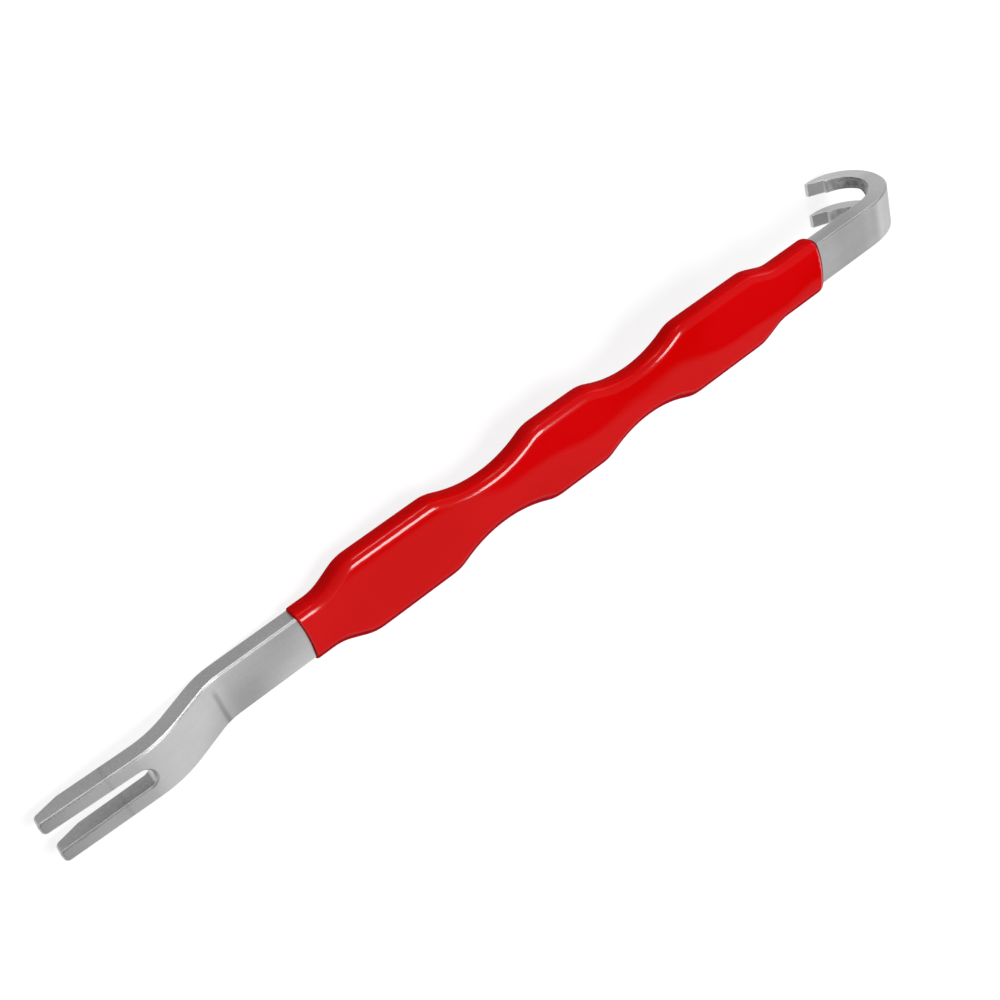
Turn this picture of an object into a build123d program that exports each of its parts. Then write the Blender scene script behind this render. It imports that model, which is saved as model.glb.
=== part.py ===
from build123d import *
import math
import os

# Terminal removal tool: a flat steel bar with a two-tined lifting fork at one end and a
# forked hook at the other, and a dipped vinyl coat over its scalloped middle.
# Millimetres, +Z up. The tool lies as it comes to rest, front face up, on the back of the
# bend behind the fork and on the two hook tips. +X runs from the fork to the hook.

# Bar stock
stock_thickness = 3.3
neck_width = 8.4
edge_break = 0.25

# Fork
tine_reach = 18.7
fork_droop = 2.9
joggle_height = 4.9
ramp_angle = 25.8
heel_radius = 14.0
ramp_radius = 9.0
slot_length = 16.2
slot_mouth = 4.0
slot_root = 3.3
tine_corner = 0.7
tine_bevel_length = 4.0
tine_bevel_depth = 1.1

# Neck and scalloped handle blank
front_neck = 16.0
rear_neck = 15.5
handle_width = 13.7
valley_width = 8.4
shoulder_inset = 4.9
shoulder_run = 5.6
first_bulge = 28.1
scallop_pitch = 33.6
last_bulge = 29.2
cuff_length = 11.6
scallop_radius = 22.0
outline_blend = 7.5

# Hook
lead_radius = 12.0
lead_angle = 36.0
curl_radius = 7.1
curl_angle = 146.5
curl_thinning = 0.3
prong_span = 9.8
flare_drop = 3.0
prong_gap = 4.2
gap_root_angle = 80.0
prong_bevel_length = 2.6
prong_land = 0.7

# Vinyl coat
coat_face = 0.65
coat_side = 0.75
coat_edge_radius = 1.8
rim_radius = 0.4
rim_dip = 0.5
cuff_swell = 0.65
cuff_bulge = 1.0
cuff_corner = 2.2

# Stations along the bar, measured from the tine tips on the mid-plane of the handle
neck_start = tine_reach + joggle_height / math.tan(math.radians(ramp_angle))
grip_start = neck_start + front_neck
shoulder_start = grip_start + shoulder_inset
first_crown = shoulder_start + shoulder_run
first_scallop = first_crown + first_bulge
last_scallop = first_scallop + scallop_pitch
last_crown = last_scallop + last_bulge
shoulder_end = last_crown + shoulder_run
grip_end = shoulder_end + cuff_length
hook_start = grip_end + rear_neck
half_stock = stock_thickness / 2
overcut = stock_thickness
alignment = 0.99
facing = 0.5


def on_turn(centre, radius, turn):
    """Point of a bend in the side view, after the bar has turned back by turn degrees."""
    angle = math.radians(turn)
    return centre + Vector(math.sin(angle), math.cos(angle)) * radius


# Hook in the side view: X along the bar, Y towards the front face
hook_angle = lead_angle + curl_angle
lead_centre = Vector(hook_start, -lead_radius)
curl_centre = on_turn(lead_centre, lead_radius - curl_radius, lead_angle)
hook_outer = curl_radius + half_stock
hook_inner = curl_radius - half_stock + curl_thinning
hook_tip = on_turn(curl_centre, hook_outer, hook_angle)
hook_floor = curl_centre.Y - hook_outer
hook_depth = half_stock - hook_floor
gap_root_level = on_turn(curl_centre, hook_outer, gap_root_angle).Y

# The table touches the back of the ramp bend and the hook tips
ramp_turn = math.radians(ramp_angle)
bend_centre = Vector(neck_start + ramp_radius * math.tan(ramp_turn / 2), ramp_radius)
bend_outer = ramp_radius + half_stock
to_tip = hook_tip - bend_centre
table_slope = math.atan2(to_tip.Y, to_tip.X) + math.asin(bend_outer / to_tip.length)
table_along = Vector(math.cos(table_slope), math.sin(table_slope))
table_up = Vector(-math.sin(table_slope), math.cos(table_slope))

# The origin is midway along the tool, at the table
droop = math.tan(math.radians(fork_droop))
droop_stretch = math.hypot(1, droop)
tip_level = joggle_height - tine_reach * droop
tip_front = tip_level + half_stock * droop_stretch
fork_reach = Vector(0, tip_front - edge_break).dot(table_along)
hook_reach = curl_centre.dot(table_along) + hook_outer
middle = (fork_reach + hook_reach) / 2
datum = Vector(-middle, 0, -hook_tip.dot(table_up))

bar_along = Vector(table_along.X, 0, -table_along.Y)
bar_front = Vector(-table_up.X, 0, table_up.Y)
plan_plane = Plane(origin=datum, x_dir=bar_along, z_dir=bar_front)
side_plane = Plane(origin=datum, x_dir=bar_along, z_dir=(0, -1, 0))
end_plane = Plane(origin=datum + bar_along * hook_start, x_dir=(0, 1, 0), z_dir=bar_along)


def closed_outline(upper_edge):
    """Points of an outline that is the same on both sides of the bar's centreline."""
    return upper_edge + [(x, -y) for x, y in reversed(upper_edge)]


def handle_outline(neck_from, neck_to, skin, swell):
    """Scalloped handle in plan, thicker all round by skin and by swell at the hook end."""
    neck = neck_width / 2 + skin
    crown = handle_width / 2 + skin
    upper_edge = [
        (neck_from, neck),
        (shoulder_start, neck),
        (first_crown, crown),
        (last_crown, crown),
        (shoulder_end, neck + swell),
        (neck_to, neck + swell),
    ]
    scallop_offset = valley_width / 2 + scallop_radius
    with BuildSketch(Plane.XY) as outline:
        with BuildLine():
            Polyline(*closed_outline(upper_edge), close=True)
        make_face()
        for station in (first_scallop, last_scallop):
            with Locations((station, scallop_offset), (station, -scallop_offset)):
                Circle(scallop_radius - skin, mode=Mode.SUBTRACT)
        stations = outline.vertices().group_by(Axis.X)[1:-1]
        fillet([corner for station in stations for corner in station], radius=outline_blend)
    return outline.sketch


def fork_slot():
    """Tapered slot between the tines, with a round root, in plan."""
    with BuildSketch(Plane.XY) as slot:
        with BuildLine():
            Line((-overcut, slot_mouth / 2), (-overcut, -slot_mouth / 2))
        with Locations((slot_length - slot_root / 2, 0)):
            Circle(slot_root / 2)
        make_hull()
    return slot.sketch


def rim_lens(station, depth, swell=0):
    """Sliver between a straight rim of the coat and the arc that it really follows."""
    reach = neck_width / 2 + coat_side + swell
    with BuildSketch(Plane.XY) as lens:
        with BuildLine():
            ThreePointArc((station, reach), (station + depth, 0), (station, -reach))
            Line((station, -reach), (station, reach))
        make_face()
    return lens.sketch


def faces_front(face):
    """Whether a face lies on the bar's front, which becomes the outside of the hook."""
    place = side_plane.to_local_coords(face.center())
    on_hook = place.X > hook_start
    outward = Vector(place.X, place.Y) - curl_centre if on_hook else Vector(0, 1)
    normal = side_plane.to_local_coords(face.normal_at()) - side_plane.to_local_coords(Vector())
    return normal.dot(outward.normalized()) > facing


def runs_along(edge):
    """Whether an edge follows the bar or rounds a tip, rather than crossing a face."""
    direction = edge % 0.5
    on_hook = plan_plane.to_local_coords(edge @ 0.5).X > hook_start
    seam = abs(direction.dot(bar_along if on_hook else bar_front)) > alignment
    straight = edge.geom_type == GeomType.LINE
    return abs(direction.Y) < alignment and not (straight and seam)


with BuildPart() as steel_bar:
    # Side view: fork, joggle and handle
    with BuildSketch(side_plane) as side:
        with BuildLine() as route:
            FilletPolyline(
                (-overcut, tip_level - overcut * droop),
                (tine_reach, joggle_height),
                (neck_start, 0),
                (hook_start, 0),
                radius=[heel_radius, ramp_radius],
            )
        trace(line_width=stock_thickness)
        # Backs of the tines, bevelled to thin tips
        tine_back = tip_level - half_stock * droop_stretch
        with BuildLine() as tine_bevel:
            Polyline(
                (-overcut, tine_back + tine_bevel_depth * (1 + overcut / tine_bevel_length)),
                (tine_bevel_length, tine_back + tine_bevel_length * droop),
                (tine_bevel_length, tine_back - overcut),
                (-overcut, tine_back - overcut),
                close=True,
            )
        make_face(mode=Mode.SUBTRACT)
        # Hook, a little thinner round the inside of the curl
        with BuildLine() as hook_profile:
            outer_lead = JernArc(
                (hook_start, half_stock), (1, 0), lead_radius + half_stock, -lead_angle
            )
            outer_curl = JernArc(outer_lead @ 1, outer_lead % 1, hook_outer, -curl_angle)
            inner_lead = JernArc(
                (hook_start, -half_stock), (1, 0), lead_radius - half_stock, -lead_angle
            )
            inner_curl = JernArc(inner_lead @ 1, inner_lead % 1, hook_inner, -curl_angle)
            Line(outer_lead @ 0, inner_lead @ 0)
            Line(outer_curl @ 1, inner_curl @ 1)
        make_face()
        # Inner faces of the hook tips, bevelled
        onward = outer_curl % 1
        inward = (inner_curl @ 1 - outer_curl @ 1).normalized()
        land = outer_curl @ 1 + inward * prong_land
        set_back = inner_curl @ 1 - onward * prong_bevel_length
        with BuildLine() as prong_bevel:
            Polyline(
                land + onward * overcut,
                land,
                set_back,
                set_back + inward * overcut,
                land + (onward + inward) * overcut * 2,
                close=True,
            )
        make_face(mode=Mode.SUBTRACT)
    extrude(amount=handle_width / 2, both=True)
    # Plan view: fork, slot, necks and handle
    with BuildSketch(plan_plane) as plan:
        add(handle_outline(0, hook_start, 0, 0))
        add(fork_slot(), mode=Mode.SUBTRACT)
        fillet(plan.vertices().group_by(Axis.X)[0], radius=tine_corner)
        with Locations((hook_start, 0)):
            Rectangle(hook_depth, prong_span, align=(Align.MIN, Align.CENTER))
    extrude(amount=hook_start, both=True, mode=Mode.INTERSECT)
    # End view: the hook's flared prongs and the gap between them
    with BuildSketch(end_plane) as end:
        with BuildLine() as relief:
            Polyline(
                (-neck_width / 2, half_stock),
                (-neck_width / 2, -flare_drop),
                (-prong_span / 2, hook_floor),
                (-prong_span, hook_floor),
                (-prong_span, half_stock),
                close=True,
            )
        make_face()
        mirror(about=Plane.YZ)
        with Locations((0, gap_root_level - prong_gap / 2)):
            Circle(prong_gap / 2)
            Rectangle(prong_gap, hook_depth, align=(Align.CENTER, Align.MAX))
    extrude(amount=hook_depth, mode=Mode.SUBTRACT)
    # The stamped edges are broken on the front and square on the back
    front_edges = steel_bar.faces().filter_by(faces_front).edges()
    chamfer(front_edges.filter_by(runs_along), length=edge_break)

with BuildPart() as red_grip:
    # Plan view: the coat follows the blank; its rim dips at the fork end and bulges at the hook
    with BuildSketch(plan_plane) as coat_plan:
        add(handle_outline(grip_start, grip_end, coat_side, cuff_swell))
        add(rim_lens(grip_start, rim_dip), mode=Mode.SUBTRACT)
        add(rim_lens(grip_end, cuff_bulge, cuff_swell))
        fillet(coat_plan.vertices().group_by(Axis.X)[-1], radius=cuff_corner)
    extrude(amount=half_stock + coat_face, both=True)
    fillet(red_grip.edges().filter_by(runs_along), radius=coat_edge_radius)
    fork_rim = red_grip.faces().sort_by(Axis.X)[0]
    fillet(fork_rim.edges(), radius=rim_radius)
    add(steel_bar.part, mode=Mode.SUBTRACT)

steel_bar.part.label = "steel_bar"
red_grip.part.label = "red_grip"
os.makedirs("parts", exist_ok=True)
export_step(steel_bar.part, "parts/steel_bar.step")
export_step(red_grip.part, "parts/red_grip.step")
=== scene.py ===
"""Terminal removal tool: satin steel lever with a glossy dipped grip, on a pale bench top.

The add-on dresses the steel bar and the red coat and sets the bench, the lamps and the camera.
"""

import math

import bpy
from mathutils import Euler, Matrix, Vector


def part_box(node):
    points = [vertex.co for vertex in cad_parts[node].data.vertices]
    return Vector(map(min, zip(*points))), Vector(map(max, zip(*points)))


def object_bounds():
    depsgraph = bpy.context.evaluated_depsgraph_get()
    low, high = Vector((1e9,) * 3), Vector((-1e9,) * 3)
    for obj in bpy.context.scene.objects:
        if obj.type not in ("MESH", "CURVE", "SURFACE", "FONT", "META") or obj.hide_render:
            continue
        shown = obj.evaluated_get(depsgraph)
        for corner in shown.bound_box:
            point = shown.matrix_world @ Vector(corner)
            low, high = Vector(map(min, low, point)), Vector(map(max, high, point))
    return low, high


bl_info = {
    "name": "Terminal Removal Tool",
    "version": (1, 0, 0),
    "blender": (4, 5, 0),
    "location": "View3D > Sidebar > Terminal Tool",
    "description": "Dresses a forked steel lever and its grip, and lights them on a bench",
    "category": "Object",
}

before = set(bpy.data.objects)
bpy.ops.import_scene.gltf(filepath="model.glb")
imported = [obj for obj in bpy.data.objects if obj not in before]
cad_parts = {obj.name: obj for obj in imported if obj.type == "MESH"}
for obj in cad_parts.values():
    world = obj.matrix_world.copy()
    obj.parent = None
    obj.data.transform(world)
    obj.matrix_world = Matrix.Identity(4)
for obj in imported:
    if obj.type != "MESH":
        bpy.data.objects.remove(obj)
cad_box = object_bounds()

MM = 0.001
WHITE = (1.0, 1.0, 1.0, 1.0)

# Directions of the bar, which lies with its hook end raised
BAR_SLOPE = math.radians(5.72)
BAR_ALONG = (math.cos(BAR_SLOPE), 0.0, math.sin(BAR_SLOPE))
BAR_FRONT = (-math.sin(BAR_SLOPE), 0.0, math.cos(BAR_SLOPE))
ENDWARD = (1.0, 0.0, 0.0)
ACROSS = (0.0, 1.0, 0.0)
UPWARD = (0.0, 0.0, 1.0)
# The bar's front, leant 22 degrees to the thumb's side of the grip
THUMB_SIDE = (0.927 * BAR_FRONT[0], 0.375, 0.927 * BAR_FRONT[2])
# Direction across the border of the rubbed patch on the coat, which lies a little askew
PATCH_BORDER = (0.074, 1.0, 0.0)

TINE_TIPS = -95.4 * MM
HALF_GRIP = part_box("red_grip")[1].y
HOOK_HOLLOW = 6.0 * MM
BENCH_DROP = 0.05 * MM

# Masks: the value where each starts and the value where it is full

# How far the surface is turned to a direction
SHEARED_FACE = (0.75, 0.9)
RUBBED_EDGE = (0.56, 0.80)
RUBBED_BACK_EDGE = (-0.62, -0.75)
FLAT_FACE = (0.985, 0.998)
FINGER_EDGE = (-0.08, -0.30)
FRONT_EDGE = (0.40, 0.62)
END_LIP = (0.20, 0.42)

# Station along the bar, from its middle
COAT_END = (60 * MM, 63 * MM)
HOOK_NECK = (60 * MM, 68 * MM)
HOOK_BACK = (77 * MM, 91 * MM)
HOOK_EDGES = (40 * MM, 60 * MM)
SHORT_OF_HOOK = (60 * MM, 50 * MM)

# Height above the bench
ABOVE_PRONGS = (5 * MM, 8 * MM)
DOWN_THE_HOOK = (15.5 * MM, 8.5 * MM)

# Distance across the border of the rubbed patch, which wanders with the coat's swells
RUBBED_PATCH = (9.0 * MM, 7.2 * MM)
BORDER_WANDER = 14.0 * MM

# Distance in half widths of a mark, in shares of its end or in radii of the hook's hollow
PRESS_LINE = (1.0, 0.0)
SHORT_OF_END = (1.0, 0.4)
HOLLOW = (1.06, 0.99)

# Level of a noise
CLOUDS = (0.3, 0.7)
FINE_GRAIN = (0.25, 0.75)
MOTTLE = (0.35, 0.65)
SWELLS = (0.3, 0.6)

# Changes of the steel's tone, in shares of its colour
CLOUD_TONE = (-0.10, 0.08)
STREAK_TONE = (-0.02, 0.02)
SPECK_TONE = 0.03
CUT_SPECK_TONE = 0.09
PATCHY_TONE = (0.78, 1.18)
# Painted reflections on the hook's sheared sides, along the bar and down the hook
HOOK_BACK_PAINTED_LIGHT = (-0.08, 0.43)
HOOK_DROP_PAINTED_LIGHT = (-0.08, 0.66)
BEND_MARK_TONE = -0.28
TINE_MARK_TONE = -0.10
# Painted shade: the darker patch on the neck
NECK_PAINTED_SHADE = -0.33
# How much of the edges' wear and painted highlight is left at the hook
HOOK_WEAR_AND_HIGHLIGHT = (1.0, 0.35)
# Painted reflections and shade on the faces at stations along the bar, in millimetres from the
# middle
FACE_PAINTED_LIGHT = (
    (-95.4, 0.79), (-86.0, 0.93), (-79.0, 1.0), (60.0, 0.95), (72.0, 0.93), (75.3, 0.88),
    (78.0, 0.93), (80.7, 1.0), (83.4, 1.16), (86.0, 1.13), (88.5, 0.79), (95.0, 0.80),
)
FACE_PAINTED_LIGHT_ENDS = (-96 * MM, 96 * MM)
# Painted light and shade inside the hook, from its open side, at -1, to its depth, at 1
FORGE_PAINTED_SHADE = (
    (-0.5, 1.60), (-0.25, 1.42), (0.0, 1.25), (0.35, 0.90), (0.7, 0.95), (0.95, 0.42),
)
FORGE_PAINTED_SHADE_ENDS = (-1.0, 1.0)

# Changes of the steel's roughness
STREAK_ROUGHNESS = (-0.02, 0.03)
CUT_ROUGHNESS = 0.10
EDGE_ROUGHNESS = 0.15
FORGE_ROUGHNESS = 0.20

# Lamps: name, place, sides, and brightness, where 1 is white
LAMPS = (
    ("top_panel", (0.115, 0.06, 0.80), (0.27, 0.34), 12.9),
    ("far_panel", (0.13, -0.62, 0.60), (1.0, 0.8), 0.85),
    ("end_panel", (1.0, -0.55, 0.3), (0.6, 0.5), 0.75),
    ("near_strip", (0.17, 0.68, 0.26), (0.27, 0.14), 16.0),
    ("near_fill", (0.0, 0.90, 0.14), (1.2, 0.2), 1.8),
)


# Node helpers


def feed(tree, socket, value):
    """Links another socket to an input, or sets a plain value on it."""
    if isinstance(value, bpy.types.NodeSocket):
        tree.links.new(value, socket)
    else:
        socket.default_value = value


def add_node(tree, kind, settings=None, **inputs):
    """Node of a kind, with settings on itself and sockets or plain values on its inputs."""
    node = tree.nodes.new(kind)
    for key, value in (settings or {}).items():
        setattr(node, key, value)
    for key, value in inputs.items():
        feed(tree, node.inputs[key.replace("_", " ")], value)
    return node


def add_math(tree, operation, first, *others, clamp=False):
    """Math on sockets and plain numbers, two at a time from the left; gives a socket."""
    result = first
    for second in others or (None,):
        node = add_node(tree, "ShaderNodeMath", {"operation": operation, "use_clamp": clamp})
        feed(tree, node.inputs[0], result)
        if second is not None:
            feed(tree, node.inputs[1], second)
        result = node.outputs[0]
    return result


def add_vector_math(tree, operation, *values):
    """Math on vectors, as sockets or as three numbers; gives a socket."""
    node = add_node(tree, "ShaderNodeVectorMath", {"operation": operation})
    for slot, value in enumerate(values):
        feed(tree, node.inputs[slot], value)
    return node.outputs["Value" if operation in {"DOT_PRODUCT", "LENGTH"} else "Vector"]


def add_range(tree, value, ends, levels=(0.0, 1.0), smooth=True):
    """Level between two, as a value goes from one end to the other; gives a socket."""
    return add_node(
        tree,
        "ShaderNodeMapRange",
        {"interpolation_type": "SMOOTHSTEP" if smooth else "LINEAR", "clamp": True},
        Value=value,
        From_Min=ends[0],
        From_Max=ends[1],
        To_Min=levels[0],
        To_Max=levels[1],
    ).outputs["Result"]


def add_ramp(tree, value, ends, stops):
    """Levels at stops between two ends of a value, eased between them; gives a socket."""
    share = add_range(tree, value, ends, smooth=False)
    node = add_node(tree, "ShaderNodeValToRGB", Fac=share)
    ramp = node.color_ramp
    ramp.interpolation = "EASE"
    ramp.elements.remove(ramp.elements[-1])
    low, high = ends
    for i, (place, level) in enumerate(stops):
        position = (place - low) / (high - low)
        stop = ramp.elements[0] if i == 0 else ramp.elements.new(position)
        stop.position = position
        stop.color = (level, level, level, 1.0)
    return node.outputs["Color"]


def add_noise(tree, place, scale, detail, roughness=0.5):
    """Noise at a place; gives a socket."""
    return add_node(
        tree,
        "ShaderNodeTexNoise",
        Vector=place,
        Scale=scale,
        Detail=detail,
        Roughness=roughness,
    ).outputs["Fac"]


def add_colour_mix(tree, share, first, second):
    """Colour that goes from the first to the second; gives a socket."""
    return add_node(
        tree, "ShaderNodeMix", {"data_type": "RGBA"}, Factor=share, A=first, B=second
    ).outputs["Result"]


def opaque(colour):
    """Colour with full alpha, as a colour socket takes it."""
    return (*colour, 1.0)


def object_place(tree):
    """Place of a surface point, in metres, which stays with the piece; gives a socket."""
    return add_node(tree, "ShaderNodeTexCoord").outputs["Object"]


def along(tree, direction):
    """How far a surface point lies along a direction, in metres; gives a socket."""
    return add_vector_math(tree, "DOT_PRODUCT", object_place(tree), direction)


def turned_to(tree, direction, normal="Normal"):
    """How far the surface is turned to a direction, from -1 to 1; gives a socket."""
    surface = add_node(tree, "ShaderNodeNewGeometry").outputs[normal]
    return add_vector_math(tree, "DOT_PRODUCT", surface, direction)


def along_grain(tree, stretch):
    """Place of a surface point, squeezed along the bar to draw a noise out; gives a socket."""
    return add_node(
        tree,
        "ShaderNodeMapping",
        Vector=object_place(tree),
        Rotation=(0.0, BAR_SLOPE, 0.0),
        Scale=(stretch, 1.0, 1.0),
    ).outputs["Vector"]


# Shared effects


def new_group(name, inputs, outputs):
    """Empty shader group with named sockets: (name, socket type, default) each."""
    group = bpy.data.node_groups.new(name, "ShaderNodeTree")
    for label, kind, default in inputs:
        socket = group.interface.new_socket(name=label, in_out="INPUT", socket_type=kind)
        socket.default_value = default
    for label, kind in outputs:
        group.interface.new_socket(name=label, in_out="OUTPUT", socket_type=kind)
    return group, add_node(group, "NodeGroupInput").outputs


def make_rolled_grain():
    """Fine streaks along the bar, as rolled and tumbled strip steel has, with slow clouds."""
    group, given = new_group(
        "Rolled grain",
        [
            ("Streak Scale", "NodeSocketFloat", 900.0),
            ("Cloud Scale", "NodeSocketFloat", 65.0),
            ("Speck Scale", "NodeSocketFloat", 2600.0),
        ],
        [
            ("Streaks", "NodeSocketFloat"),
            ("Clouds", "NodeSocketFloat"),
            ("Specks", "NodeSocketFloat"),
        ],
    )
    place = object_place(group)
    grain = along_grain(group, 0.06)
    add_node(
        group,
        "NodeGroupOutput",
        Streaks=add_noise(group, grain, given["Streak Scale"], detail=4.0, roughness=0.6),
        Clouds=add_noise(group, place, given["Cloud Scale"], detail=1.0, roughness=0.4),
        Specks=add_noise(group, place, given["Speck Scale"], detail=3.0, roughness=0.7),
    )
    return group


def make_worn_edge():
    """Normal that rounds sharp edges, and a mask that is white along them."""
    group, given = new_group(
        "Worn edge",
        [("Edge Radius", "NodeSocketFloat", 0.3 * MM), ("Edge Gain", "NodeSocketFloat", 4.0)],
        [("Normal", "NodeSocketVector"), ("Edge", "NodeSocketFloat")],
    )
    bevel = add_node(group, "ShaderNodeBevel", {"samples": 6}, Radius=given["Edge Radius"])
    rounded = bevel.outputs["Normal"]
    turned = add_math(group, "SUBTRACT", 1.0, turned_to(group, rounded), clamp=True)
    edge = add_math(group, "MULTIPLY", turned, given["Edge Gain"], clamp=True)
    add_node(group, "NodeGroupOutput", Normal=rounded, Edge=edge)
    return group


def make_cut_face():
    """Mask of the sheared side faces, which point across the bar."""
    group, given = new_group(
        "Cut face",
        [("Across", "NodeSocketVector", ACROSS)],
        [("Cut", "NodeSocketFloat")],
    )
    sideways = add_math(group, "ABSOLUTE", turned_to(group, given["Across"], "True Normal"))
    add_node(group, "NodeGroupOutput", Cut=add_range(group, sideways, SHEARED_FACE))
    return group


def make_mark_and_shade_band():
    """Soft dark line across the bar at a station along it, as a press tool leaves; a wide one
    stands for painted shade.
    """
    group, given = new_group(
        "Press mark and shade band",
        [
            ("Station", "NodeSocketFloat", 0.0),
            ("Half Width", "NodeSocketFloat", 1.0 * MM),
            ("End", "NodeSocketFloat", 10.0 * MM),
            ("Slant", "NodeSocketFloat", 0.0),
            ("Sway", "NodeSocketFloat", 0.6 * MM),
            ("Sway Scale", "NodeSocketFloat", 250.0),
        ],
        [("Mark", "NodeSocketFloat")],
    )
    across = along(group, ACROSS)
    slant = add_math(group, "MULTIPLY", across, given["Slant"])
    offset = add_math(group, "SUBTRACT", along(group, BAR_ALONG), slant, given["Station"])
    wander = add_noise(group, object_place(group), given["Sway Scale"], detail=1.0)
    sway = add_math(group, "MULTIPLY", add_math(group, "SUBTRACT", wander, 0.5), given["Sway"])
    distance = add_math(group, "ABSOLUTE", add_math(group, "ADD", offset, sway))
    from_line = add_math(group, "DIVIDE", distance, given["Half Width"])
    to_end = add_math(group, "DIVIDE", across, given["End"])
    mark = add_math(group, "MULTIPLY", add_range(group, from_line, PRESS_LINE),
        add_range(group, to_end, SHORT_OF_END))
    add_node(group, "NodeGroupOutput", Mark=mark)
    return group


def make_scale_and_hollow_shade():
    """Mottled skin left inside a bend round an axis across the bar, with painted light near its
    open side and painted shade deep in it.
    """
    group, given = new_group(
        "Forge scale and hollow shade",
        [
            ("Axis", "NodeSocketVector", (0.0, 0.0, 0.0)),
            ("Radius", "NodeSocketFloat", 7.0 * MM),
            ("Mottle Scale", "NodeSocketFloat", 900.0),
        ],
        [("Inside", "NodeSocketFloat"), ("Tone", "NodeSocketFloat")],
    )
    place = object_place(group)
    from_axis = add_vector_math(group, "SUBTRACT", place, given["Axis"])
    in_side_view = add_vector_math(group, "MULTIPLY", from_axis, (1.0, 0.0, 1.0))
    reach = add_vector_math(group, "LENGTH", in_side_view)
    share = add_math(group, "DIVIDE", reach, given["Radius"])
    depth = add_math(group, "DIVIDE", add_vector_math(group, "DOT_PRODUCT", from_axis, ENDWARD),
        given["Radius"])
    # Painted light near the hook's open side and painted shade deep in it, under the mottle
    deep = add_ramp(group, depth, FORGE_PAINTED_SHADE_ENDS, FORGE_PAINTED_SHADE)
    mottle = add_noise(group, place, given["Mottle Scale"], detail=3.0, roughness=0.6)
    patchy = add_math(group, "MULTIPLY", deep, add_range(group, mottle, MOTTLE, PATCHY_TONE))
    add_node(
        group,
        "NodeGroupOutput",
        Inside=add_range(group, share, HOLLOW),
        Tone=add_math(group, "SUBTRACT", patchy, 1.0),
    )
    return group


def make_dipped_skin():
    """Slow swells and small ripples of a thick dipped coat, crowned across the bar."""
    group, given = new_group(
        "Dipped skin",
        [
            ("Swell Scale", "NodeSocketFloat", 70.0),
            ("Ripple Scale", "NodeSocketFloat", 260.0),
            ("Ripple", "NodeSocketFloat", 0.12),
            ("Crown", "NodeSocketFloat", 1.0),
        ],
        [("Height", "NodeSocketFloat"), ("Swell", "NodeSocketFloat")],
    )
    place = along_grain(group, 0.55)
    swell = add_noise(group, place, given["Swell Scale"], detail=1.0, roughness=0.4)
    ripples = add_noise(group, place, given["Ripple Scale"], detail=2.0)
    raised = add_math(group, "ADD", swell,
        add_math(group, "MULTIPLY", ripples, given["Ripple"]))
    across = add_math(group, "DIVIDE", along(group, ACROSS), HALF_GRIP)
    fall = add_math(group, "MULTIPLY", across, across, given["Crown"])
    height = add_math(group, "SUBTRACT", raised, fall)
    add_node(group, "NodeGroupOutput", Height=height, Swell=swell)
    return group


def make_hand_polish():
    """Where the coat is rubbed glossy, most on its rounded edges, and where painted shade
    darkens it.
    """
    group, given = new_group(
        "Hand polish",
        [
            ("Swell", "NodeSocketFloat", 0.5),
            ("Flat Gloss", "NodeSocketFloat", 0.20),
            ("Side Gloss", "NodeSocketFloat", 0.04),
            ("Painted Edge Shade", "NodeSocketFloat", 0.45),
        ],
        [("Gloss", "NodeSocketFloat"), ("Lip", "NodeSocketFloat")],
    )
    facing = turned_to(group, BAR_FRONT)
    # The thumb rubs its own side of the grip more than the fingers rub theirs
    thumbed = add_math(group, "MINIMUM", facing, turned_to(group, THUMB_SIDE))
    # The fingers' own edge of the front is left dull, with a little painted shade
    fingers = add_range(group, turned_to(group, ACROSS), FINGER_EDGE)
    painted_edge_shade = add_math(group, "MULTIPLY", fingers, add_range(group, facing, FRONT_EDGE),
        given["Painted Edge Shade"])
    front_edge = add_math(group, "MULTIPLY", add_range(group, thumbed, RUBBED_EDGE),
        add_math(group, "SUBTRACT", 1.0, fingers))
    back_edge = add_range(group, facing, RUBBED_BACK_EDGE)
    on_edge = add_math(group, "MAXIMUM", front_edge, back_edge, given["Side Gloss"])
    # The rubbed patch on the front gives way to the raw dip towards the hook and the upper side
    border = add_math(group, "ADD", along(group, PATCH_BORDER),
        add_math(group, "MULTIPLY", given["Swell"], BORDER_WANDER))
    on_flat = add_math(group, "MULTIPLY", add_range(group, border, RUBBED_PATCH),
        given["Flat Gloss"])
    flat = add_range(group, add_math(group, "ABSOLUTE", facing), FLAT_FACE)
    change = add_math(group, "MULTIPLY", flat, add_math(group, "SUBTRACT", on_flat, on_edge))
    rubbed = add_math(group, "ADD", on_edge, change)
    # The lip round the hook end of the coat stays dull, with painted shade on it
    painted_end_shade = add_math(group, "MULTIPLY", add_range(group, along(group, BAR_ALONG), COAT_END),
        add_range(group, turned_to(group, BAR_ALONG), END_LIP))
    lip = add_math(group, "MAXIMUM", painted_end_shade, painted_edge_shade)
    gloss = add_math(group, "MULTIPLY", rubbed, add_math(group, "SUBTRACT", 1.0, lip))
    add_node(group, "NodeGroupOutput", Gloss=gloss, Lip=lip)
    return group


def add_effect(tree, group, **inputs):
    """Node that holds a shared effect; gives its output sockets."""
    return add_node(tree, "ShaderNodeGroup", {"node_tree": group}, **inputs).outputs


def new_material(name):
    """Material with an empty tree that ends in one Principled shader, and its inputs."""
    material = bpy.data.materials.new(name)
    material.use_nodes = True
    tree = material.node_tree
    tree.nodes.clear()
    surface = add_node(tree, "ShaderNodeBsdfPrincipled")
    add_node(tree, "ShaderNodeOutputMaterial", Surface=surface.outputs["BSDF"])
    return material, tree, surface.inputs


def dress(node_name, material):
    """Gives a frame node a material in place of its own."""
    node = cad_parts[node_name]
    for slot in node.material_slots:
        slot.material = material
    if not node.material_slots:
        node.data.materials.append(material)


# Settings


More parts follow.
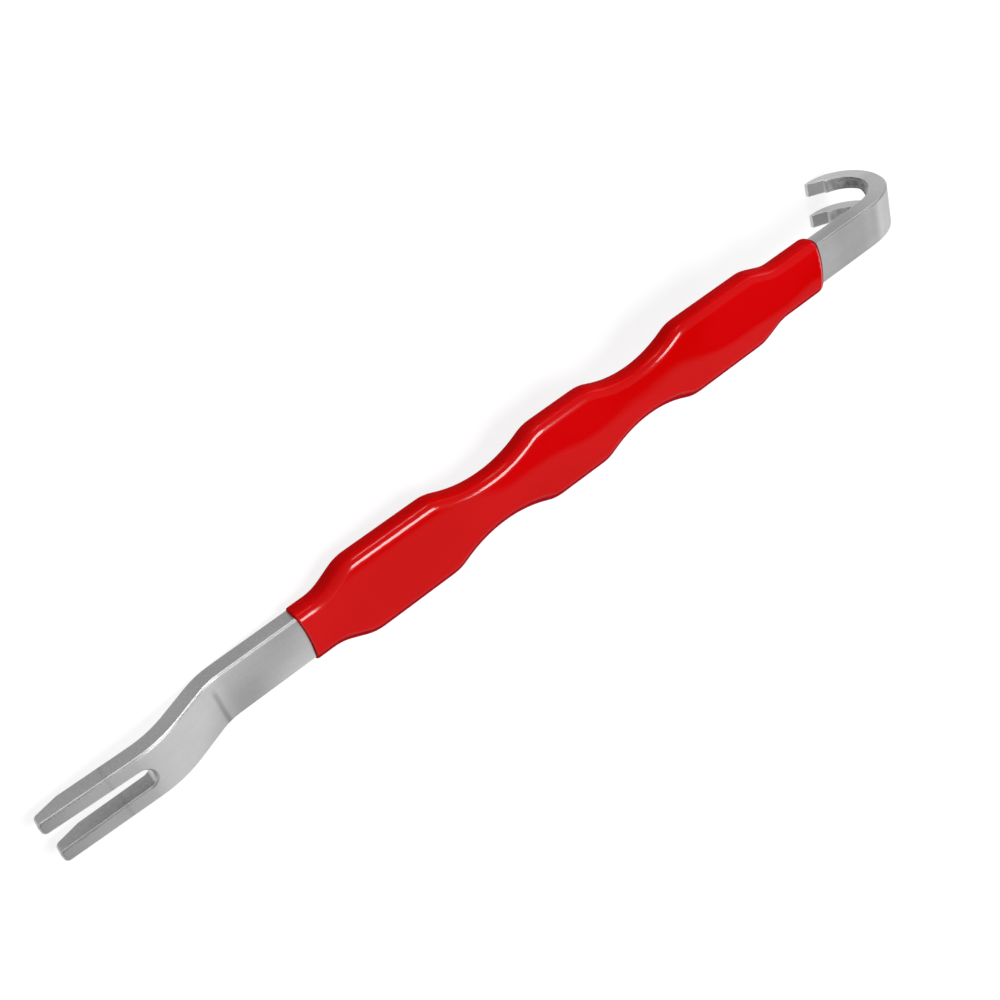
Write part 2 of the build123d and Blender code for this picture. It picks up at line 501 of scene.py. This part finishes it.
class SteelFinish(bpy.types.PropertyGroup):
    shade: bpy.props.FloatVectorProperty(
        name="Steel Colour", description="Colour of the satin steel", subtype="COLOR",
        size=3, min=0.0, max=1.0, default=(0.55, 0.55, 0.55),
    )
    # Darker sheared sides: partly their own sheared finish, partly painted shade
    cut_and_painted_shade: bpy.props.FloatVectorProperty(
        name="Cut Colour", description="Colour of the sheared side faces", subtype="COLOR",
        size=3, min=0.0, max=1.0, default=(0.30, 0.30, 0.30),
    )
    # Lighter edges: partly rubbed wear, partly a painted highlight along them
    worn_and_highlight_shade: bpy.props.FloatVectorProperty(
        name="Edge Colour", description="Colour of the rubbed edges", subtype="COLOR",
        size=3, min=0.0, max=1.0, default=(0.72, 0.72, 0.72),
    )
    roughness: bpy.props.FloatProperty(
        name="Roughness", description="Mean roughness of the satin steel",
        min=0.0, max=1.0, default=0.36,
    )
    edge_radius: bpy.props.FloatProperty(
        name="Edge Radius", description="Width of the softening seen at the stamped edges",
        unit="LENGTH", default=0.3 * MM,
    )
    bend_mark: bpy.props.FloatProperty(
        name="Bend Mark", description="Station of the pressed line across the neck",
        unit="LENGTH", default=TINE_TIPS + 29.8 * MM,
    )
    bend_mark_half: bpy.props.FloatProperty(
        name="Bend Mark Half Width", description="Half the width of the line across the neck",
        unit="LENGTH", default=0.7 * MM,
    )
    bend_mark_end: bpy.props.FloatProperty(
        name="Bend Mark End", description="How far across the bar the line on the neck fades",
        unit="LENGTH", default=3.2 * MM,
    )
    tine_mark: bpy.props.FloatProperty(
        name="Tine Mark", description="Station of the fine line across the tines",
        unit="LENGTH", default=TINE_TIPS + 11.3 * MM,
    )
    tine_mark_half: bpy.props.FloatProperty(
        name="Tine Mark Half Width", description="Half the width of the line across the tines",
        unit="LENGTH", default=0.5 * MM,
    )
    # Painted shade: the darker patch on the neck, its middle, length and slant
    painted_neck_shade: bpy.props.FloatProperty(
        name="Neck Shade", description="Station of the middle of the darker patch on the neck",
        unit="LENGTH", default=TINE_TIPS + 38.0 * MM,
    )
    painted_neck_shade_half: bpy.props.FloatProperty(
        name="Neck Shade Half Width", description="Half the length of the patch on the neck",
        unit="LENGTH", default=13.0 * MM,
    )
    painted_neck_shade_slant: bpy.props.FloatProperty(
        name="Neck Shade Slant", description="Shift of the patch along the bar for each across",
        default=1.2,
    )
    hook_axis: bpy.props.FloatVectorProperty(
        name="Hook Axis", description="Axis that the hook is curled round, on the middle plane",
        subtype="TRANSLATION", size=3, default=(86.75 * MM, 0.0, 8.74 * MM),
    )


class CoatFinish(bpy.types.PropertyGroup):
    shade: bpy.props.FloatVectorProperty(
        name="Coat Colour", description="Colour of the dipped vinyl", subtype="COLOR",
        size=3, min=0.0, max=1.0, default=(0.70, 0.002, 0.003),
    )
    deep_shade: bpy.props.FloatVectorProperty(
        name="Deep Colour", description="Colour where the vinyl is thickest", subtype="COLOR",
        size=3, min=0.0, max=1.0, default=(0.66, 0.001, 0.001),
    )
    # Painted shade on the lip at the hook end and along the fingers' edge
    rim_painted_shade: bpy.props.FloatVectorProperty(
        name="Rim Colour", description="Colour of the lip at the hook end and of grime",
        subtype="COLOR", size=3, min=0.0, max=1.0, default=(0.26, 0.006, 0.02),
    )
    roughness: bpy.props.FloatProperty(
        name="Roughness", description="Roughness of the glossy vinyl",
        min=0.0, max=1.0, default=0.12,
    )
    swell_height: bpy.props.FloatProperty(
        name="Swell Height", description="Height of the slow swells of the dipped skin",
        unit="LENGTH", default=0.25 * MM,
    )


class BenchLayout(bpy.types.PropertyGroup):
    bench_reach: bpy.props.FloatProperty(
        name="Bench Reach", description="From the middle of the pale bench top to its wall",
        unit="LENGTH", default=3.0,
    )
    cove_radius: bpy.props.FloatProperty(
        name="Cove Radius", description="Radius of the bend from the bench top to its wall",
        unit="LENGTH", default=0.5,
    )
    wall_height: bpy.props.FloatProperty(
        name="Wall Height", description="Height of the pale wall round the bench",
        unit="LENGTH", default=1.6,
    )
    bench_shade: bpy.props.FloatVectorProperty(
        name="Bench Colour", description="Colour of the bench where lamps and shadows fall",
        subtype="COLOR", size=3, min=0.0, max=1.0, default=(0.22, 0.22, 0.22),
    )
    bench_glow: bpy.props.FloatProperty(
        name="Bench Glow", description="Light that the bench itself shows, where 1 is white",
        min=0.0, default=0.84,
    )
    sky_glow: bpy.props.FloatProperty(
        name="Sky Glow", description="Even light from all round, where 1 is white",
        min=0.0, default=0.13,
    )
    camera_place: bpy.props.FloatVectorProperty(
        name="Camera Place", description="Where the camera stands", subtype="TRANSLATION",
        size=3, default=(-0.093019, 0.110224, 0.145189),
    )
    camera_turn: bpy.props.FloatVectorProperty(
        name="Camera Turn", description="How the camera is turned", subtype="EULER",
        size=3, default=tuple(math.radians(a) for a in (-21.154, -40.879, -23.061)),
    )
    lens: bpy.props.FloatProperty(
        name="Lens", description="Focal length of the camera, in millimetres",
        unit="CAMERA", default=42.372,
    )


# Operators


class DressSteelBar(bpy.types.Operator):
    """Give the fork, neck and hook their satin steel"""

    bl_idname = "terminal_tool.steel_bar"
    bl_label = "Dress Steel Bar"

    def execute(self, context):
        finish = context.scene.steel_finish
        material, tree, surface = new_material("Satin steel")
        grain = add_effect(tree, make_rolled_grain())
        worn = add_effect(tree, make_worn_edge(), Edge_Radius=finish.edge_radius)
        cut = add_effect(tree, make_cut_face())["Cut"]
        uncut = add_math(tree, "SUBTRACT", 1.0, cut)
        forge_and_shade = add_effect(tree, make_scale_and_hollow_shade(), Axis=finish.hook_axis, Radius=HOOK_HOLLOW)
        inside = add_math(tree, "MULTIPLY", forge_and_shade["Inside"], uncut)
        station = along(tree, BAR_ALONG)
        height = along(tree, UPWARD)

        # Tone: painted reflections and shade on the faces and hook sides, painted light and
        # shade inside the hook, a painted shade patch on the neck, press marks, random clouds
        # and specks
        tone = add_math(tree, "ADD", 1.0,
            self.shade_faces(tree, station, height, uncut, inside),
            self.paint_light_on_hook_sides(tree, station, height, cut),
            add_math(tree, "MULTIPLY", inside, forge_and_shade["Tone"]),
            self.cloud_and_speck(tree, grain, cut),
            self.press_marks_and_neck_shade(tree, finish, uncut))
        # Sheared sides darker, partly from their finish and partly as painted shade
        faces = add_colour_mix(tree, cut, opaque(finish.shade), opaque(finish.cut_and_painted_shade))
        # The edges are lighter, partly from wear and partly as a painted highlight
        wear_and_highlight = add_math(tree, "MULTIPLY", worn["Edge"],
            add_range(tree, station, HOOK_EDGES, HOOK_WEAR_AND_HIGHLIGHT))
        worn_and_highlit_faces = add_colour_mix(tree, wear_and_highlight, faces, opaque(finish.worn_and_highlight_shade))
        toned = add_node(tree, "ShaderNodeVectorMath", {"operation": "SCALE"},
            Vector=worn_and_highlit_faces, Scale=tone)
        feed(tree, surface["Base Color"], toned.outputs["Vector"])

        streaks = add_range(tree, grain["Streaks"], FINE_GRAIN, STREAK_ROUGHNESS)
        roughness = add_math(tree, "ADD", finish.roughness, streaks,
            add_math(tree, "MULTIPLY", cut, CUT_ROUGHNESS),
            add_math(tree, "MULTIPLY", worn["Edge"], EDGE_ROUGHNESS),
            add_math(tree, "MULTIPLY", inside, FORGE_ROUGHNESS))
        feed(tree, surface["Roughness"], roughness)
        surface["Metallic"].default_value = 1.0

        relief = add_math(tree, "ADD", grain["Streaks"],
            add_math(tree, "MULTIPLY", grain["Specks"], 0.5))
        bump = add_node(tree, "ShaderNodeBump", Strength=0.12, Distance=0.02 * MM,
            Height=relief, Normal=worn["Normal"])
        feed(tree, surface["Normal"], bump.outputs["Normal"])
        dress("steel_bar", material)
        return {"FINISHED"}

    def shade_faces(self, tree, station, height, uncut, inside):
        """Painted reflections and shade along the broad faces, but not inside the hook or on
        its prongs.
        """
        tone = add_ramp(tree, station, FACE_PAINTED_LIGHT_ENDS,
            [(place * MM, level) for place, level in FACE_PAINTED_LIGHT])
        off_prongs = add_math(tree, "MAXIMUM", add_range(tree, height, ABOVE_PRONGS),
            add_range(tree, station, SHORT_OF_HOOK))
        outside = add_math(tree, "SUBTRACT", uncut, inside, clamp=True)
        change = add_math(tree, "SUBTRACT", tone, 1.0)
        return add_math(tree, "MULTIPLY", change, off_prongs, outside)

    def paint_light_on_hook_sides(self, tree, station, height, cut):
        """Painted reflection: brighter sheared sides over the hook's back and down to its
        prongs.
        """
        change = add_math(tree, "MAXIMUM",
            add_range(tree, station, HOOK_BACK, HOOK_BACK_PAINTED_LIGHT),
            add_range(tree, height, DOWN_THE_HOOK, HOOK_DROP_PAINTED_LIGHT, smooth=False))
        return add_math(tree, "MULTIPLY", cut, add_range(tree, station, HOOK_NECK), change)

    def cloud_and_speck(self, tree, grain, cut):
        """Slow clouds and fine streaks, with specks that are strongest on the sheared sides."""
        clouds = add_range(tree, grain["Clouds"], CLOUDS, CLOUD_TONE)
        streaks = add_range(tree, grain["Streaks"], FINE_GRAIN, STREAK_TONE)
        specks = add_range(tree, grain["Specks"], FINE_GRAIN, (-1.0, 1.0))
        strength = add_math(tree, "ADD", SPECK_TONE,
            add_math(tree, "MULTIPLY", cut, CUT_SPECK_TONE))
        return add_math(tree, "ADD", clouds, streaks,
            add_math(tree, "MULTIPLY", specks, strength))

    def press_marks_and_neck_shade(self, tree, finish, uncut):
        """Darker lines across the bend and the tines, and a patch of painted shade on the neck.
        """
        mark_and_shade_band = make_mark_and_shade_band()
        bend = add_effect(tree, mark_and_shade_band, Station=finish.bend_mark,
            Half_Width=finish.bend_mark_half, End=finish.bend_mark_end)
        tine = add_effect(tree, mark_and_shade_band, Station=finish.tine_mark,
            Half_Width=finish.tine_mark_half)
        # The patch of painted shade on the neck runs right across, so its end lies far off the
        # bar
        neck = add_effect(tree, mark_and_shade_band, Station=finish.painted_neck_shade,
            Half_Width=finish.painted_neck_shade_half, End=1.0, Slant=finish.painted_neck_shade_slant)
        return add_math(tree, "ADD", add_math(tree, "MULTIPLY", bend["Mark"], BEND_MARK_TONE),
            add_math(tree, "MULTIPLY", tine["Mark"], TINE_MARK_TONE),
            add_math(tree, "MULTIPLY", neck["Mark"], uncut, NECK_PAINTED_SHADE))


class DressRedGrip(bpy.types.Operator):
    """Give the scalloped grip its glossy dipped vinyl"""

    bl_idname = "terminal_tool.red_grip"
    bl_label = "Dress Red Grip"

    def execute(self, context):
        finish = context.scene.coat_finish
        material, tree, surface = new_material("Dipped vinyl")
        skin = add_effect(tree, make_dipped_skin())
        polish = add_effect(tree, make_hand_polish(), Swell=skin["Swell"])
        vinyl = add_colour_mix(tree, add_range(tree, skin["Swell"], SWELLS),
            opaque(finish.deep_shade), opaque(finish.shade))
        # Painted shade on the hook end's lip and along the fingers' edge
        shaded = add_colour_mix(tree, polish["Lip"], vinyl, opaque(finish.rim_painted_shade))
        feed(tree, surface["Base Color"], shaded)
        surface["Roughness"].default_value = 0.5
        surface["Specular IOR Level"].default_value = 0.0
        surface["Coat IOR"].default_value = 1.52
        surface["Coat Roughness"].default_value = finish.roughness
        feed(tree, surface["Coat Weight"], polish["Gloss"])
        bump = add_node(tree, "ShaderNodeBump", Strength=1.0, Distance=finish.swell_height,
            Height=skin["Height"])
        feed(tree, surface["Normal"], bump.outputs["Normal"])
        dress("red_grip", material)
        return {"FINISHED"}


class SetBench(bpy.types.Operator):
    """Lay the pale bench top under the tool and set the lamps and the camera"""

    bl_idname = "terminal_tool.bench"
    bl_label = "Set Bench"

    def execute(self, context):
        layout = context.scene.bench_layout
        self.lay_bench(context, layout)
        self.light_sky(context, layout)
        for name, place, sides, brightness in LAMPS:
            self.hang_lamp(context, name, place, sides, brightness)
        self.stand_camera(context, layout)
        context.scene.view_settings.view_transform = "Standard"
        return {"FINISHED"}

    def lay_bench(self, context, layout):
        """Round bench top that bends up into a wall all round, just under the tool."""
        corners, faces = self.bench_shape(layout, steps=8, sides=64)
        mesh = bpy.data.meshes.new("bench_top")
        mesh.from_pydata(corners, [], faces)
        mesh.polygons.foreach_set("use_smooth", [False] + [True] * (len(faces) - 1))
        bench = bpy.data.objects.new("bench_top", mesh)
        bench.location.z = cad_box[0][2] - BENCH_DROP
        context.scene.collection.objects.link(bench)

        material, tree, surface = new_material("Pale bench")
        surface["Base Color"].default_value = opaque(layout.bench_shade)
        surface["Roughness"].default_value = 0.9
        surface["Specular IOR Level"].default_value = 0.0
        surface["Emission Color"].default_value = WHITE
        path = add_node(tree, "ShaderNodeLightPath").outputs
        seen = add_math(tree, "MAXIMUM", path["Is Camera Ray"], path["Is Glossy Ray"],
            path["Is Transmission Ray"])
        glow = add_math(tree, "MULTIPLY", seen, layout.bench_glow)
        feed(tree, surface["Emission Strength"], glow)
        mesh.materials.append(material)

    def bench_shape(self, layout, steps, sides):
        """Corners and faces: the flat top first, then the bend in steps and the wall."""
        reach, bend = layout.bench_reach, layout.cove_radius
        turns = [math.pi / 2 * i / steps for i in range(steps + 1)]
        profile = [(reach - bend * (1 - math.sin(a)), bend * (1 - math.cos(a))) for a in turns]
        profile.append((reach, layout.wall_height))
        ring = [math.tau * i / sides for i in range(sides)]
        corners = [(r * math.cos(a), r * math.sin(a), z) for r, z in profile for a in ring]
        walls = [(j * sides + i, j * sides + (i + 1) % sides,
            (j + 1) * sides + (i + 1) % sides, (j + 1) * sides + i)
            for j in range(len(profile) - 1) for i in range(sides)]
        return corners, [tuple(range(sides)), *walls]

    def light_sky(self, context, layout):
        """Even light from all round."""
        world = bpy.data.worlds.new("Studio")
        context.scene.world = world
        world.use_nodes = True
        tree = world.node_tree
        tree.nodes.clear()
        sky = add_node(tree, "ShaderNodeBackground", Color=WHITE, Strength=layout.sky_glow)
        add_node(tree, "ShaderNodeOutputWorld", Surface=sky.outputs["Background"])

    def hang_lamp(self, context, name, place, sides, brightness):
        """Rectangular lamp that looks at the tool, with its first sides level."""
        lamp = bpy.data.lights.new(name, "AREA")
        lamp.shape = "RECTANGLE"
        lamp.size, lamp.size_y = sides
        lamp.energy = brightness * math.pi * sides[0] * sides[1]
        holder = bpy.data.objects.new(name, lamp)
        holder.location = place
        back = Vector(place).normalized()
        side = Vector(ACROSS).cross(back).normalized()
        holder.rotation_euler = Matrix((side, back.cross(side), back)).transposed().to_euler()
        context.scene.collection.objects.link(holder)

    def stand_camera(self, context, layout):
        """Camera above the fork end, which looks down across the tool to its hook."""
        data = bpy.data.cameras.new("view")
        data.sensor_width = 36.0
        data.lens = layout.lens
        data.clip_start = 10 * MM
        camera = bpy.data.objects.new("view", data)
        camera.location = layout.camera_place
        camera.rotation_euler = Euler(layout.camera_turn)
        context.scene.collection.objects.link(camera)
        context.scene.camera = camera


class TerminalToolPanel(bpy.types.Panel):
    """Steps that dress the tool and set its bench"""

    bl_idname = "VIEW3D_PT_terminal_tool"
    bl_label = "Terminal Tool"
    bl_space_type = "VIEW_3D"
    bl_region_type = "UI"
    bl_category = "Terminal Tool"

    def draw(self, context):
        for group, operator in (
            (context.scene.steel_finish, DressSteelBar),
            (context.scene.coat_finish, DressRedGrip),
            (context.scene.bench_layout, SetBench),
        ):
            box = self.layout.box()
            for name in group.bl_rna.properties.keys():
                if name not in {"rna_type", "name"}:
                    box.prop(group, name)
            box.operator(operator.bl_idname)


CLASSES = (
    SteelFinish,
    CoatFinish,
    BenchLayout,
    DressSteelBar,
    DressRedGrip,
    SetBench,
    TerminalToolPanel,
)


def register():
    for cls in CLASSES:
        bpy.utils.register_class(cls)
    bpy.types.Scene.steel_finish = bpy.props.PointerProperty(type=SteelFinish)
    bpy.types.Scene.coat_finish = bpy.props.PointerProperty(type=CoatFinish)
    bpy.types.Scene.bench_layout = bpy.props.PointerProperty(type=BenchLayout)


def unregister():
    del bpy.types.Scene.bench_layout
    del bpy.types.Scene.coat_finish
    del bpy.types.Scene.steel_finish
    for cls in reversed(CLASSES):
        bpy.utils.unregister_class(cls)


def main():
    register()
    bpy.ops.terminal_tool.steel_bar()
    bpy.ops.terminal_tool.red_grip()
    bpy.ops.terminal_tool.bench()


if __name__ == "__main__":
    main()
